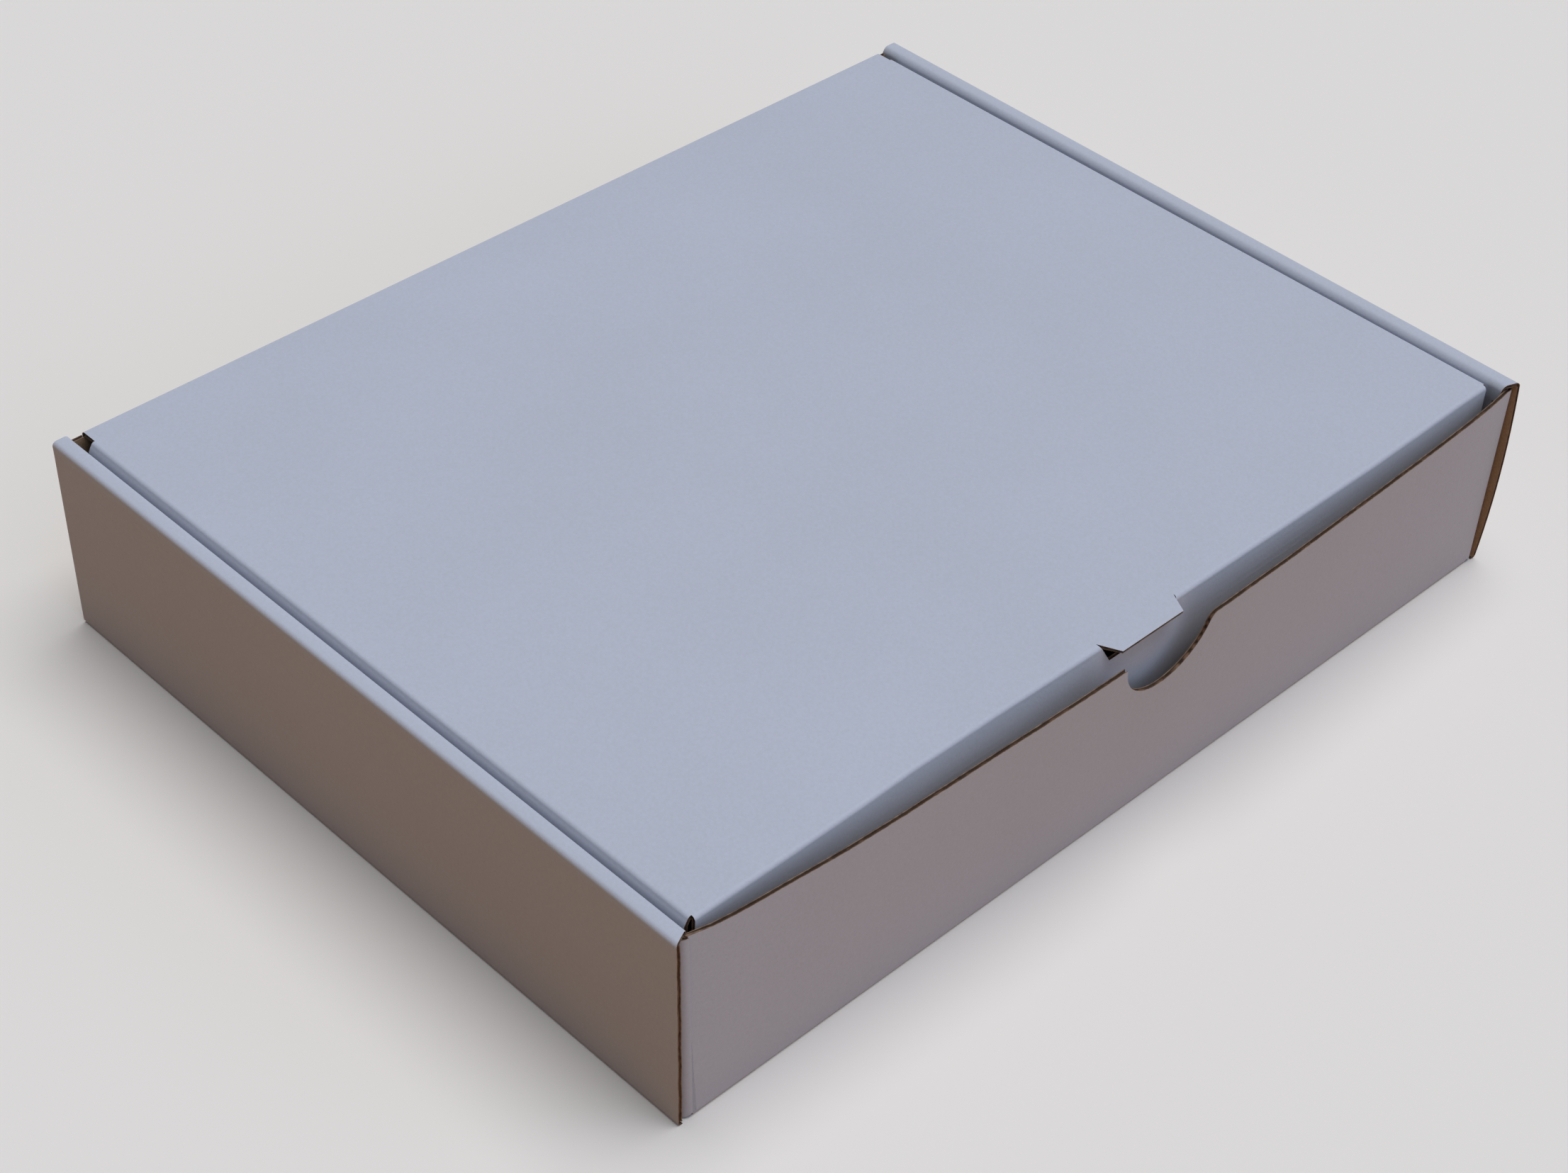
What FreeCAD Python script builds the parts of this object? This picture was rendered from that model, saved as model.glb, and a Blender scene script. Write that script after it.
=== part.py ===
import FreeCAD, Part
import math
import os
import re
import Sketcher

# A roll-end mailer box folded from one sheet of corrugated board, white outside and brown inside.
# Frame: origin at the centre of the base's underside, +X along the front wall to the right,
# -Y towards the front wall with the thumb notch, +Z up, millimetres.
doc = FreeCAD.newDocument("mailer_box")
sheet = doc.addObject("Spreadsheet::Sheet", "sizes")

driving_sizes = {
    # outside of the box
    "box_length": 318.0,
    "box_depth": 243.0,
    "box_height": 64.0,
    # the sheet and its folds
    "board": 1.2,
    "layer_gap": 0.6,
    "base_fold": 1.0,
    "corner_fold": 2.5,
    "outer_shoulder": 1.8,
    "inner_shoulder": 1.1,
    # how far the side walls lean out at the top
    "left_flare": 2.2,
    "right_flare": 0.8,
    # side walls: front edge ahead of the front wall's corner, at the foot and at the top
    "left_lead_foot": 0.1,
    "left_lead_top": -1.3,
    "right_lead_foot": 0.3,
    "right_lead_top": 1.3,
    "trim_room": 3.0,
    # front wall: rim below the top of the side walls, and the bow of that rim
    "rim_drop": 2.0,
    "front_bow": 6.3,
    "notch_width": 33.0,
    "notch_depth": 14.5,
    "notch_offset": 2.6,
    "notch_round": 3.0,
    # flaps folded from the ends of the front and rear walls, between the side wall's layers
    "dust_flap_length": 95.0,
    "dust_flap_drop": 1.0,
    "foot_gap": 0.3,
    # locking tabs of the side walls and their slots in the base
    "lock_width": 30.0,
    "lock_spacing": 130.0,
    "lock_gap": 0.4,
    # lid
    "lid_drop": 0.7,
    "lid_left_gap": 3.2,
    "lid_right_gap": 2.2,
    "lid_front_inset": 3.4,
    "lid_crease": 0.7,
    "hinge_gap": 0.1,
    "tuck_depth": 44.0,
    "tuck_lean": 1.9,
    "ear_taper": 9.0,
    "side_flap_depth": 31.0,
    "side_flap_rear": 6.0,
    "side_flap_taper": 16.0,
    "flap_relief": 1.5,
    "corner_hole": 1.5,
    # thumb tab left standing in the lid's plane, and the hole it leaves in the tuck flap
    "tab_root": 29.6,
    "tab_tip": 23.4,
    "tab_length": 4.4,
    "tab_offset": 1.4,
    "tab_seat": 4.0,
    # small overlap by which one fold runs into the next
    "bite": 0.4,
}
for row, (alias, value) in enumerate(driving_sizes.items(), start=1):
    sheet.set(f"A{row}", alias)
    sheet.set(f"B{row}", str(value))
    sheet.setAlias(f"B{row}", alias)
doc.recompute()

# Named places, as formulas of the driving sizes
half_length = "box_length / 2"
half_depth = "box_depth / 2"
wall_half = f"({half_length} - board - layer_gap)"
rim_height = "(box_height - rim_drop)"
roll_width = "(3 * board + 2 * layer_gap)"
lid_top = "(box_height - lid_drop)"
lid_under = "(box_height - lid_drop - board)"
rear_rim = f"({lid_under} - hinge_gap)"
hinge_y = f"({half_depth} - board / 2)"
lid_front = f"(-{half_depth} + lid_front_inset)"
tuck_foot = f"({lid_under} - tuck_depth)"
lid_left = f"(-{half_length} - left_flare + {roll_width} + lid_left_gap)"
lid_right = f"({half_length} + right_flare - {roll_width} - lid_right_gap)"
lean = {"left": "left_flare / box_height", "right": "right_flare / box_height"}
side_sign = {"left": -1, "right": 1}


def in_cells(formula):
    """The same formula with each size read from its cell in the sheet."""
    return re.sub(r"[a-z]\w*", lambda word: "sizes." + word[0], formula)


def bind(target, prop, formula):
    target.setExpression(prop, in_cells(formula))


def number(formula):
    return float(sheet.evalExpression(in_cells(formula)))


def new_sketch(body, name, plane, level):
    sketch = body.newObject("Sketcher::SketchObject", name)
    origin_plane = next(item for item in body.Origin.OriginFeatures if item.Role == plane)
    sketch.AttachmentSupport = [(origin_plane, "")]
    sketch.MapMode = "FlatFace"
    bind(sketch, "AttachmentOffset.Base.z", level)
    return sketch


def arc_geometry(start, end, radius, turn):
    """Arc from start to end, turning left (1) or right (-1), shorter than half a circle."""
    chord = end - start
    rise = math.sqrt(max(radius**2 - chord.Length**2 / 4, 0.0))
    left = FreeCAD.Vector(-chord.y, chord.x, 0).normalize()
    centre = (start + end) / 2 + left * (turn * rise)
    first, last = (start, end) if turn > 0 else (end, start)
    angles = [math.atan2((point - centre).y, (point - centre).x) for point in (first, last)]
    circle = Part.Circle(centre, FreeCAD.Vector(0, 0, 1), radius)
    return Part.ArcOfCircle(circle, angles[0], angles[1])


def closed_outline(sketch, corners, arcs=None):
    """Draw a closed outline through the corners, with arcs {index: (radius, turn)} after some of them."""
    arcs = arcs or {}
    points = [FreeCAD.Vector(number(x), number(y), 0) for x, y in corners]
    ends = []
    for index, start in enumerate(points):
        end = points[(index + 1) % len(points)]
        if index in arcs:
            radius, turn = arcs[index]
            item = sketch.addGeometry(arc_geometry(start, end, number(radius), turn), False)
            ends.append((item, 1, 2) if turn > 0 else (item, 2, 1))
        else:
            item = sketch.addGeometry(Part.LineSegment(start, end), False)
            ends.append((item, 1, 2))
    for index, (item, start_end, _) in enumerate(ends):
        before, _, before_end = ends[index - 1]
        sketch.addConstraint(Sketcher.Constraint("Coincident", before, before_end, item, start_end))
        for kind, formula in zip(("DistanceX", "DistanceY"), corners[index]):
            rule = Sketcher.Constraint(kind, -1, 1, item, start_end, number(formula))
            bind(sketch, f"Constraints[{sketch.addConstraint(rule)}]", formula)
        if index in arcs:
            rule = Sketcher.Constraint("Radius", item, number(arcs[index][0]))
            bind(sketch, f"Constraints[{sketch.addConstraint(rule)}]", arcs[index][0])
    return sketch


def prism(body, name, plane, corners, low, high, arcs=None, cut=False):
    """Pad or pocket an outline from low to high along the axis that the plane faces.

    The XZ plane faces -Y, so there low and high are the two Y values turned round.
    """
    if plane == "XZ_Plane":
        low, high = f"-({high})", f"-({low})"
    sketch = closed_outline(new_sketch(body, f"{name}_outline", plane, low), corners, arcs)
    feature = body.newObject("PartDesign::Pocket" if cut else "PartDesign::Pad", name)
    feature.Profile = sketch
    feature.Reversed = cut
    bind(feature, "Length", f"({high}) - ({low})")
    feature.Refine = True
    return feature


def round_hole(body, name, centre, radius, low, high):
    """Upright round hole from low to high."""
    sketch = new_sketch(body, f"{name}_outline", "XY_Plane", low)
    middle = FreeCAD.Vector(number(centre[0]), number(centre[1]), 0)
    item = sketch.addGeometry(Part.Circle(middle, FreeCAD.Vector(0, 0, 1), number(radius)), False)
    for kind, formula in zip(("DistanceX", "DistanceY"), centre):
        rule = Sketcher.Constraint(kind, -1, 1, item, 3, number(formula))
        bind(sketch, f"Constraints[{sketch.addConstraint(rule)}]", formula)
    rule = Sketcher.Constraint("Radius", item, number(radius))
    bind(sketch, f"Constraints[{sketch.addConstraint(rule)}]", radius)
    hole = body.newObject("PartDesign::Pocket", name)
    hole.Profile = sketch
    hole.Reversed = True
    bind(hole, "Length", f"({high}) - ({low})")
    return hole


def box_prism(body, name, x_range, y_range, z_range, cut=False):
    (x_low, x_high), (y_low, y_high), (z_low, z_high) = x_range, y_range, z_range
    corners = [(x_low, y_low), (x_high, y_low), (x_high, y_high), (x_low, y_high)]
    return prism(body, name, "XY_Plane", corners, z_low, z_high, cut=cut)


def round_edges(body, name, radius, wanted):
    """Fillet the edges of the body's last feature whose middle and direction pass the test."""
    doc.recompute()
    base = body.Tip
    names = []
    for index, edge in enumerate(base.Shape.Edges, start=1):
        start, end = edge.Vertexes[0].Point, edge.Vertexes[-1].Point
        if wanted((start + end) / 2, end - start):
            names.append(f"Edge{index}")
    if not names:
        raise ValueError(f"{name}: no edge found to round")
    fillet = body.newObject("PartDesign::Fillet", name)
    fillet.Base = (base, names)
    bind(fillet, "Radius", radius)
    return fillet


def near(value, formula, slack=0.05):
    return abs(value - number(formula)) < slack


def runs_along(direction, axis, least):
    across = [abs(value) for index, value in enumerate(direction) if index != axis]
    return abs(direction[axis]) > least and max(across) < 0.01


def wall_outline(sketch, y_sign, height, bow):
    """Outline of the front (y_sign -1) or rear (1) wall with the bends into its dust flaps."""
    left = f"(-{wall_half} - {lean['left']} * {height})"
    right = f"({wall_half} + {lean['right']} * {height})"
    face = f"({y_sign} * {half_depth})"
    inner = f"({face} - {y_sign} * board)"
    bend_end = f"({face} - {y_sign} * corner_fold)"
    corners = [
        (left, bend_end),
        (f"{left} + corner_fold", face),
        (f"{right} - corner_fold", face),
        (right, bend_end),
        (f"{right} - board", bend_end),
        (f"{right} - corner_fold", inner),
        (f"{left} + corner_fold", inner),
        (f"{left} + board", bend_end),
    ]
    inner_bend = "corner_fold - board"
    turn = -y_sign
    arcs = {index: ("corner_fold", turn) for index in (0, 2)}
    arcs.update({index: (inner_bend, -turn) for index in (4, 6)})
    if bow:
        half_chord = f"(({right}) - ({left}) - 2 * corner_fold) / 2"
        radius = f"(({half_chord}) * ({half_chord}) + {bow} * {bow}) / (2 * {bow})"
        arcs[1] = (radius, turn)
        arcs[5] = (radius, -turn)
    return closed_outline(sketch, corners, arcs)


def end_wall(body, name, y_sign, rim, bow=None):
    """Front or rear wall, lofted from its straight foot on the base to its rim."""
    foot = wall_outline(new_sketch(body, f"{name}_foot", "XY_Plane", "board"), y_sign, "board", None)
    top = wall_outline(new_sketch(body, f"{name}_rim", "XY_Plane", rim), y_sign, rim, bow)
    wall = body.newObject("PartDesign::AdditiveLoft", name)
    wall.Profile = foot
    wall.Sections = [top]
    wall.Ruled = True
    wall.Refine = True
    return wall


def leaning_layer(side, out, low, high):
    """Corners in X and Z of one layer of a side wall, whose outer face lies `out` inside the wall's."""
    sign = side_sign[side]
    foot = f"{sign} * ({half_length} - {out} + {lean[side]} * {low})"
    top = f"{sign} * ({half_length} - {out} + {lean[side]} * {high})"
    return [
        (foot, low),
        (top, high),
        (f"{top} - {sign} * board", high),
        (f"{foot} - {sign} * board", low),
    ]


def side_wall(body, side):
    """Outer panel, top strip and inner panel of one side wall, rolled over the dust flaps."""
    sign = side_sign[side]
    front = f"-{half_depth} - trim_room"
    outer = leaning_layer(side, "0", "board", "box_height")
    prism(body, f"{side}_outer_panel", "XZ_Plane", outer, front, half_depth)
    strip_low = "(box_height - board)"
    strip_top = f"{sign} * ({half_length} + {lean[side]} * box_height)"
    strip_foot = f"{sign} * ({half_length} + {lean[side]} * {strip_low})"
    strip = [
        (f"{strip_foot} - {sign} * board", strip_low),
        (f"{strip_top} - {sign} * board", "box_height"),
        (f"{strip_top} - {sign} * {roll_width}", "box_height"),
        (f"{strip_foot} - {sign} * {roll_width}", strip_low),
    ]
    prism(body, f"{side}_top_strip", "XZ_Plane", strip, front, half_depth)
    inner_low = "(board + foot_gap)"
    inner = leaning_layer(side, "(2 * board + 2 * layer_gap)", inner_low, "(box_height - board + bite)")
    wall_face = f"({half_depth} - board - foot_gap)"
    prism(body, f"{side}_inner_panel", "XZ_Plane", inner, f"-{wall_face}", wall_face)


def slant_front_edge(body, side):
    """Trim the side wall's front edge to its slant from the foot to the top."""
    sign = side_sign[side]
    far = "(trim_room + bite)"
    cut_off = [
        (f"-{half_depth} - {side}_lead_foot", "board"),
        (f"-{half_depth} - {side}_lead_top", "box_height + bite"),
        (f"-{half_depth} - {far}", "box_height + bite"),
        (f"-{half_depth} - {far}", "board"),
    ]
    inner = f"({half_length} - {roll_width} - layer_gap)"
    outer = f"({half_length} + {side}_flare + bite)"
    limits = (inner, outer) if sign > 0 else (f"-{outer}", f"-{inner}")
    prism(body, f"{side}_front_edge", "YZ_Plane", cut_off, *limits, cut=True)


def dust_flaps(body, side):
    """The two flaps bent back from the ends of the front and rear walls, between the wall's layers."""
    top = f"({rim_height} - dust_flap_drop)"
    layer = leaning_layer(side, "(board + layer_gap)", "(board + foot_gap)", top)
    root = f"({half_depth} - corner_fold)"
    tip = f"({root} - dust_flap_length)"
    prism(body, f"{side}_front_dust_flap", "XZ_Plane", layer, f"-{root}", f"-{tip}")
    prism(body, f"{side}_rear_dust_flap", "XZ_Plane", layer, tip, root)


def locking_tabs(body, side, cut):
    """Tabs under the inner panel, or the slots in the base that they stand in."""
    sign = side_sign[side]
    kind = "slot" if cut else "tab"
    room = "lock_gap" if cut else "0"
    outer = f"({half_length} - 2 * board - 2 * layer_gap)"
    x_values = [f"{sign} * ({outer} + {room})", f"{sign} * ({outer} - board - {room})"]
    if sign < 0:
        x_values.reverse()
    x_range = (x_values[1], x_values[0])
    z_range = ("0", "board") if cut else ("foot_gap", "board + foot_gap + bite")
    for place, along in (("front", -1), ("rear", 1)):
        middle = f"({along} * lock_spacing / 2)"
        y_range = (f"{middle} - lock_width / 2 - {room}", f"{middle} + lock_width / 2 + {room}")
        box_prism(body, f"{side}_{place}_{kind}", x_range, y_range, z_range, cut=cut)


def thumb_notch(body):
    """Half-moon cut in the rim of the front wall."""
    radius = "((notch_width / 2) * (notch_width / 2) + notch_depth * notch_depth) / (2 * notch_depth)"
    rim_end = f"({rim_height} + bite)"
    outline = [
        ("notch_offset - notch_width / 2", rim_height),
        ("notch_offset", f"{rim_height} - notch_depth"),
        ("notch_offset + notch_width / 2", rim_height),
        ("notch_offset + notch_width / 2", rim_end),
        ("notch_offset - notch_width / 2", rim_end),
    ]
    y_out = f"(-{half_depth} - front_bow - bite)"
    y_in = f"(-{half_depth} + board + bite)"
    arcs = {index: (radius, 1) for index in (0, 1)}
    prism(body, "thumb_notch", "XZ_Plane", outline, y_out, y_in, arcs=arcs, cut=True)

    def right_corner(middle, run):
        at_corner = near(middle.x, "notch_offset + notch_width / 2") and near(middle.z, rim_height)
        return at_corner and runs_along(run, 1, 0.5)

    round_edges(body, "notch_corner", "notch_round", right_corner)


def make_tray():
    body = doc.addObject("PartDesign::Body", "tray")
    body.Label = "tray"
    box_prism(body, "base", (f"-{half_length}", half_length), (f"-{half_depth}", half_depth), ("0", "board"))
    round_edges(body, "base_folds", "base_fold", lambda middle, run: near(middle.z, "0"))
    for side in side_sign:
        locking_tabs(body, side, cut=True)
    for side in side_sign:
        side_wall(body, side)
        slant_front_edge(body, side)
        locking_tabs(body, side, cut=False)
    end_wall(body, "front_wall", -1, rim_height, bow="front_bow")
    end_wall(body, "rear_wall", 1, rear_rim)
    thumb_notch(body)
    for side in side_sign:
        dust_flaps(body, side)
    top_outer = {
        side: f"{sign} * ({half_length} + {side}_flare)" for side, sign in side_sign.items()
    }
    long_edge = number("box_depth") / 2

    def outer_shoulder(middle, run):
        at_edge = any(near(middle.x, place) for place in top_outer.values())
        return at_edge and near(middle.z, "box_height") and runs_along(run, 1, long_edge)

    def inner_shoulder(middle, run):
        inner = [f"{top_outer[side]} - {sign} * {roll_width}" for side, sign in side_sign.items()]
        at_edge = any(near(middle.x, place) for place in inner)
        return at_edge and near(middle.z, "box_height") and runs_along(run, 1, long_edge)

    round_edges(body, "outer_shoulders", "outer_shoulder", outer_shoulder)
    round_edges(body, "inner_shoulders", "inner_shoulder", inner_shoulder)
    return body


def tab_outline(root, tip):
    """Corners of the thumb tab's trapezoid, from its root to its tip."""
    return [
        ("tab_offset - tab_root / 2", root),
        ("tab_offset - tab_tip / 2", tip),
        ("tab_offset + tab_tip / 2", tip),
        ("tab_offset + tab_root / 2", root),
    ]


def make_lid():
    body = doc.addObject("PartDesign::Body", "lid")
    body.Label = "lid"
    x_range = (lid_left, lid_right)
    rear = f"({hinge_y} + board / 2)"
    box_prism(body, "panel", x_range, (lid_front, rear), (lid_under, lid_top))

    # tuck flap, leaning in a little towards its foot
    flap = [
        (lid_front, f"({lid_under} + bite)"),
        (f"{lid_front} + tuck_lean", tuck_foot),
        (f"{lid_front} + tuck_lean + board", tuck_foot),
        (f"{lid_front} + board", f"({lid_under} + bite)"),
    ]
    prism(body, "tuck_flap", "YZ_Plane", flap, f"{lid_left} + flap_relief", f"{lid_right} - flap_relief")
    flap_front = f"{lid_front} - bite"
    flap_back = f"{lid_front} + tuck_lean + board + bite"
    for side, edge in (("left", lid_left), ("right", lid_right)):
        sign = side_sign[side]
        end = f"{edge} - {sign} * flap_relief"
        corner = [
            (f"{end} + {sign} * bite", f"({lid_under} - ear_taper)"),
            (f"{end} + {sign} * bite", f"({tuck_foot} - bite)"),
            (f"{end} - {sign} * ear_taper", f"({tuck_foot} - bite)"),
        ]
        prism(body, f"{side}_ear_taper", "XZ_Plane", corner, flap_front, flap_back, cut=True)

    # hole that the tab leaves in the tuck flap
    hole = tab_outline(f"({lid_under} + bite / 2)", f"({lid_under} - tab_length)")
    prism(body, "tab_hole", "XZ_Plane", hole, flap_front, flap_back, cut=True)

    # side flaps, cut back at the rear
    for side, edge in (("left", lid_left), ("right", lid_right)):
        sign = side_sign[side]
        front = f"({lid_front} + flap_relief)"
        back = f"({half_depth} - side_flap_rear)"
        foot = f"({lid_under} - side_flap_depth)"
        outline = [
            (front, f"({lid_under} + bite)"),
            (front, foot),
            (f"{back} - side_flap_taper", foot),
            (back, lid_under),
            (back, f"({lid_under} + bite)"),
        ]
        inner = f"({edge} - {sign} * board)"
        limits = (inner, edge) if sign > 0 else (edge, inner)
        prism(body, f"{side}_flap", "YZ_Plane", outline, *limits)

    # creases along the lid's edges, and the bend at the hinge
    def top_crease(middle, run):
        at_front = near(middle.y, lid_front) and runs_along(run, 0, 1)
        at_side = (near(middle.x, lid_left) or near(middle.x, lid_right)) and runs_along(run, 1, 1)
        return near(middle.z, lid_top) and (at_front or at_side)

    def rear_bend(middle, run):
        return near(middle.y, rear) and runs_along(run, 0, 1)

    round_edges(body, "lid_creases", "lid_crease", top_crease)
    round_edges(body, "hinge_bend", "board / 2 - hinge_gap / 10", rear_bend)
    for side, edge in (("left", lid_left), ("right", lid_right)):
        corner, low, high = (edge, lid_front), f"({lid_under} - bite)", f"({lid_top} + bite)"
        round_hole(body, f"{side}_corner_hole", corner, "corner_hole", low, high)
    tab = tab_outline(f"({lid_front})", f"({lid_front} - tab_length)")
    seat = [
        ("tab_offset + tab_root / 2", f"({lid_front} + tab_seat)"),
        ("tab_offset - tab_root / 2", f"({lid_front} + tab_seat)"),
    ]
    prism(body, "thumb_tab", "XY_Plane", tab + seat, lid_under, lid_top)
    return body


pieces = [make_tray(), make_lid()]
doc.recompute()
for item in doc.Objects:
    failed = [state for state in item.State if state in ("Invalid", "Error")]
    if failed:
        raise RuntimeError(f"{item.Label} failed: {failed}")
for piece in pieces:
    if piece.Shape.isNull() or not piece.Shape.isValid():
        raise RuntimeError(f"{piece.Label} has no valid shape")

os.makedirs("parts", exist_ok=True)
for piece in pieces:
    piece.Shape.exportStep(f"parts/{piece.Label}.step")
    box = piece.Shape.BoundBox
    print(piece.Label, "solids", len(piece.Shape.Solids), "volume", round(piece.Shape.Volume),
          "x", round(box.XMin, 2), round(box.XMax, 2), "y", round(box.YMin, 2), round(box.YMax, 2),
          "z", round(box.ZMin, 2), round(box.ZMax, 2))
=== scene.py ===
import math
import random

import bmesh
import bpy
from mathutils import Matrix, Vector


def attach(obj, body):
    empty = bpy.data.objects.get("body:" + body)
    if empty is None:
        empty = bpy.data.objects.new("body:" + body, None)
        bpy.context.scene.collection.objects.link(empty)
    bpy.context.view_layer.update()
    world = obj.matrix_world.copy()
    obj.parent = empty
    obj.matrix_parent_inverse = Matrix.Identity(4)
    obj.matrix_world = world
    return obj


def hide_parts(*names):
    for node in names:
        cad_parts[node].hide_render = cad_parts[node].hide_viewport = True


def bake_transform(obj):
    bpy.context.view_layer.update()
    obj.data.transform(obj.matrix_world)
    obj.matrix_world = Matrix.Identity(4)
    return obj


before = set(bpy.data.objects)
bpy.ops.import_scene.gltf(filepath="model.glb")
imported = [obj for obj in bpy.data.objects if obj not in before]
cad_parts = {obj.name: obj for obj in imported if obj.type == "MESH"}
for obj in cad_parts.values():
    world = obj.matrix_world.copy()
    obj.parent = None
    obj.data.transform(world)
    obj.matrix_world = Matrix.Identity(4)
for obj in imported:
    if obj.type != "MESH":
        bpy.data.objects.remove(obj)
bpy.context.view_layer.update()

bpy.ops.object.select_all(action="DESELECT")

# corrugated board: sizes here and below are millimetres, and inMetres turns them to the frame's metres
board = {
    "thickness": 1.2,
    "layerGap": 0.6,        # between a side wall's outer panel and the dust flaps
    "innerGap": 1.4,        # between the dust flaps and the inner panel
    "rimCuts": 5,           # cuts that split a raw edge, whose outermost rows are the paper liners
    "grooveDepth": 0.5,     # how far the flutes lie back between the liners at a raw edge
    "flutePitch": 2.0,
    "foldRadius": 1.3,      # outside of a crease
    "foldSteps": 6,
    "freeEdge": 0.3,        # gap under an edge that isn't folded
    "ragged": 0.16,         # unevenness of a die-cut edge
    "smoothAngle": 35,      # degrees: a sharper edge stays crisp
}
slots = {"white": 0, "kraft": 1, "lip": 2, "flutes": 3}    # places of the four materials on each piece
chance = random.Random(7)


def inMetres(*values):
    return tuple(value / 1000 for value in values)


def near(value, place, slack=0.02):
    return abs(value - place) < slack


# modelling helpers work on the piece in edit mode, with places in millimetres
# a sheet starts flat and without thickness, as the board's outside face
def startSheet(name, xRange, yRange, z):
    bpy.ops.object.select_all(action="DESELECT")
    bpy.ops.mesh.primitive_plane_add(size=1, location=(0, 0, 0))
    piece = bpy.context.object
    piece.name = piece.data.name = name
    bpy.ops.object.mode_set(mode="EDIT")
    bpy.ops.mesh.select_all(action="SELECT")
    width, depth = xRange[1] - xRange[0], yRange[1] - yRange[0]
    bpy.ops.transform.resize(value=inMetres(width, depth, 1000))
    middle = (sum(xRange) / 2, sum(yRange) / 2, z)
    bpy.ops.transform.translate(value=inMetres(*middle))
    return piece


# select the verts, edges or faces whose middle, in millimetres, passes the test
def pick(kind, test):
    bpy.ops.mesh.select_mode(type=kind)
    bpy.ops.mesh.select_all(action="DESELECT")
    data = bpy.context.edit_object.data
    mesh = bmesh.from_edit_mesh(data)
    items = {"VERT": mesh.verts, "EDGE": mesh.edges, "FACE": mesh.faces}[kind]
    found = False
    for item in items:
        if kind == "VERT":
            middle = item.co
        elif kind == "EDGE":
            middle = (item.verts[0].co + item.verts[1].co) / 2
        else:
            middle = item.calc_center_median()
        if test(middle * 1000, item):
            item.select_set(True)
            found = True
    bmesh.update_edit_mesh(data)
    if not found:
        raise ValueError(f"nothing of {bpy.context.edit_object.name} was picked")


# cut the picked faces with planes across one axis
def cutAt(axis, places, faces=lambda c, f: True):
    normal = [0.0, 0.0, 0.0]
    normal["xyz".index(axis)] = 1.0
    for place in places:
        pick("FACE", faces)
        bpy.ops.mesh.bisect(plane_co=tuple(n * place / 1000 for n in normal), plane_no=normal)


def dropFaces(test):
    pick("FACE", test)
    bpy.ops.mesh.delete(type="FACE")


# extrude the picked edges, and leave the new edges picked
def pull(x, y, z):
    bpy.ops.mesh.extrude_region_move(TRANSFORM_OT_translate={"value": inMetres(x, y, z)})


def shift(x, y, z):
    bpy.ops.transform.translate(value=inMetres(x, y, z))


# bevel the picked creases to a round of this outside radius
def roundFold(radius, test, steps=None):
    pick("EDGE", test)
    bpy.ops.mesh.bevel(offset_type="OFFSET", offset=radius / 1000, segments=steps or board["foldSteps"],
                       profile=0.5, affect="EDGES", clamp_overlap=False)


# turn all faces so that the one that passes the test looks along direction
def outsideTo(direction, test):
    bpy.ops.mesh.select_mode(type="FACE")
    bpy.ops.mesh.select_all(action="SELECT")
    bpy.ops.mesh.normals_make_consistent(inside=False)
    mesh = bmesh.from_edit_mesh(bpy.context.edit_object.data)
    sample = next(face for face in mesh.faces if test(face.calc_center_median() * 1000, face))
    if sample.normal.dot(Vector(direction)) < 0:
        bpy.ops.mesh.flip_normals()


# give the sheet its thickness: white outside, kraft inside, raw board along every cut
def thicken(piece):
    bpy.ops.object.mode_set(mode="OBJECT")
    for material in (whiteLiner, kraftLiner, cutLiner, fluteCoreAndGrooveShade):
        piece.data.materials.append(material)
    solid = piece.modifiers.new("thickness", "SOLIDIFY")
    solid.thickness = board["thickness"] / 1000
    solid.offset = -1
    solid.use_even_offset = True
    solid.use_rim = True
    solid.material_offset = slots["kraft"]
    solid.material_offset_rim = slots["lip"]
    bpy.ops.object.modifier_apply(modifier=solid.name)


# sink a groove between the two liners along the raw edges, where the flutes lie back
def openRawEdges(piece):
    bpy.ops.object.mode_set(mode="EDIT")
    pick("EDGE", lambda c, e: len(e.link_faces) == 2
         and all(face.material_index == slots["lip"] for face in e.link_faces))
    bpy.ops.mesh.subdivide(number_cuts=board["rimCuts"])
    mesh = bmesh.from_edit_mesh(piece.data)
    faced = {vertex.index for face in mesh.faces if face.material_index < slots["lip"]
             for vertex in face.verts}
    pick("FACE", lambda c, f: f.material_index == slots["lip"]
         and not any(vertex.index in faced for vertex in f.verts))
    # the sunken faces take the medium's material, whose dark tone is painted shade of the groove
    piece.active_material_index = slots["flutes"]
    bpy.ops.object.material_slot_assign()
    bpy.ops.mesh.extrude_region_shrink_fatten(
        TRANSFORM_OT_shrink_fatten={"value": -board["grooveDepth"] / 1000})
    bpy.ops.object.mode_set(mode="OBJECT")


def finishPiece(piece):
    bpy.ops.object.select_all(action="DESELECT")
    piece.select_set(True)
    bpy.context.view_layer.objects.active = piece
    bpy.ops.object.shade_smooth_by_angle(angle=math.radians(board["smoothAngle"]))


# materials read an sRGB hex colour, here turned to linear
def fromHex(text):
    parts = [int(text[i:i + 2], 16) / 255 for i in (1, 3, 5)]
    return [c / 12.92 if c <= 0.04045 else ((c + 0.055) / 1.055) ** 2.4 for c in parts] + [1.0]


# add a node, set its sockets or properties by name, and link {input: (node, output)}
def addNode(tree, kind, settings=None, links=None):
    node = tree.nodes.new(kind)
    for name, value in (settings or {}).items():
        if isinstance(name, int) or name in node.inputs:
            node.inputs[name].default_value = value
        else:
            setattr(node, name, value)
    for name, (source, output) in (links or {}).items():
        tree.links.new(source.outputs[output], node.inputs[name])
    return node


def newMaterial(name):
    material = bpy.data.materials.new(name)
    material.use_nodes = True
    tree = material.node_tree
    tree.nodes.clear()
    output = addNode(tree, "ShaderNodeOutputMaterial")
    return material, tree, output


# noise scale, on Object coordinates in metres, for features of this size in millimetres
def perMillimetre(size):
    return 1000 / size


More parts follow.
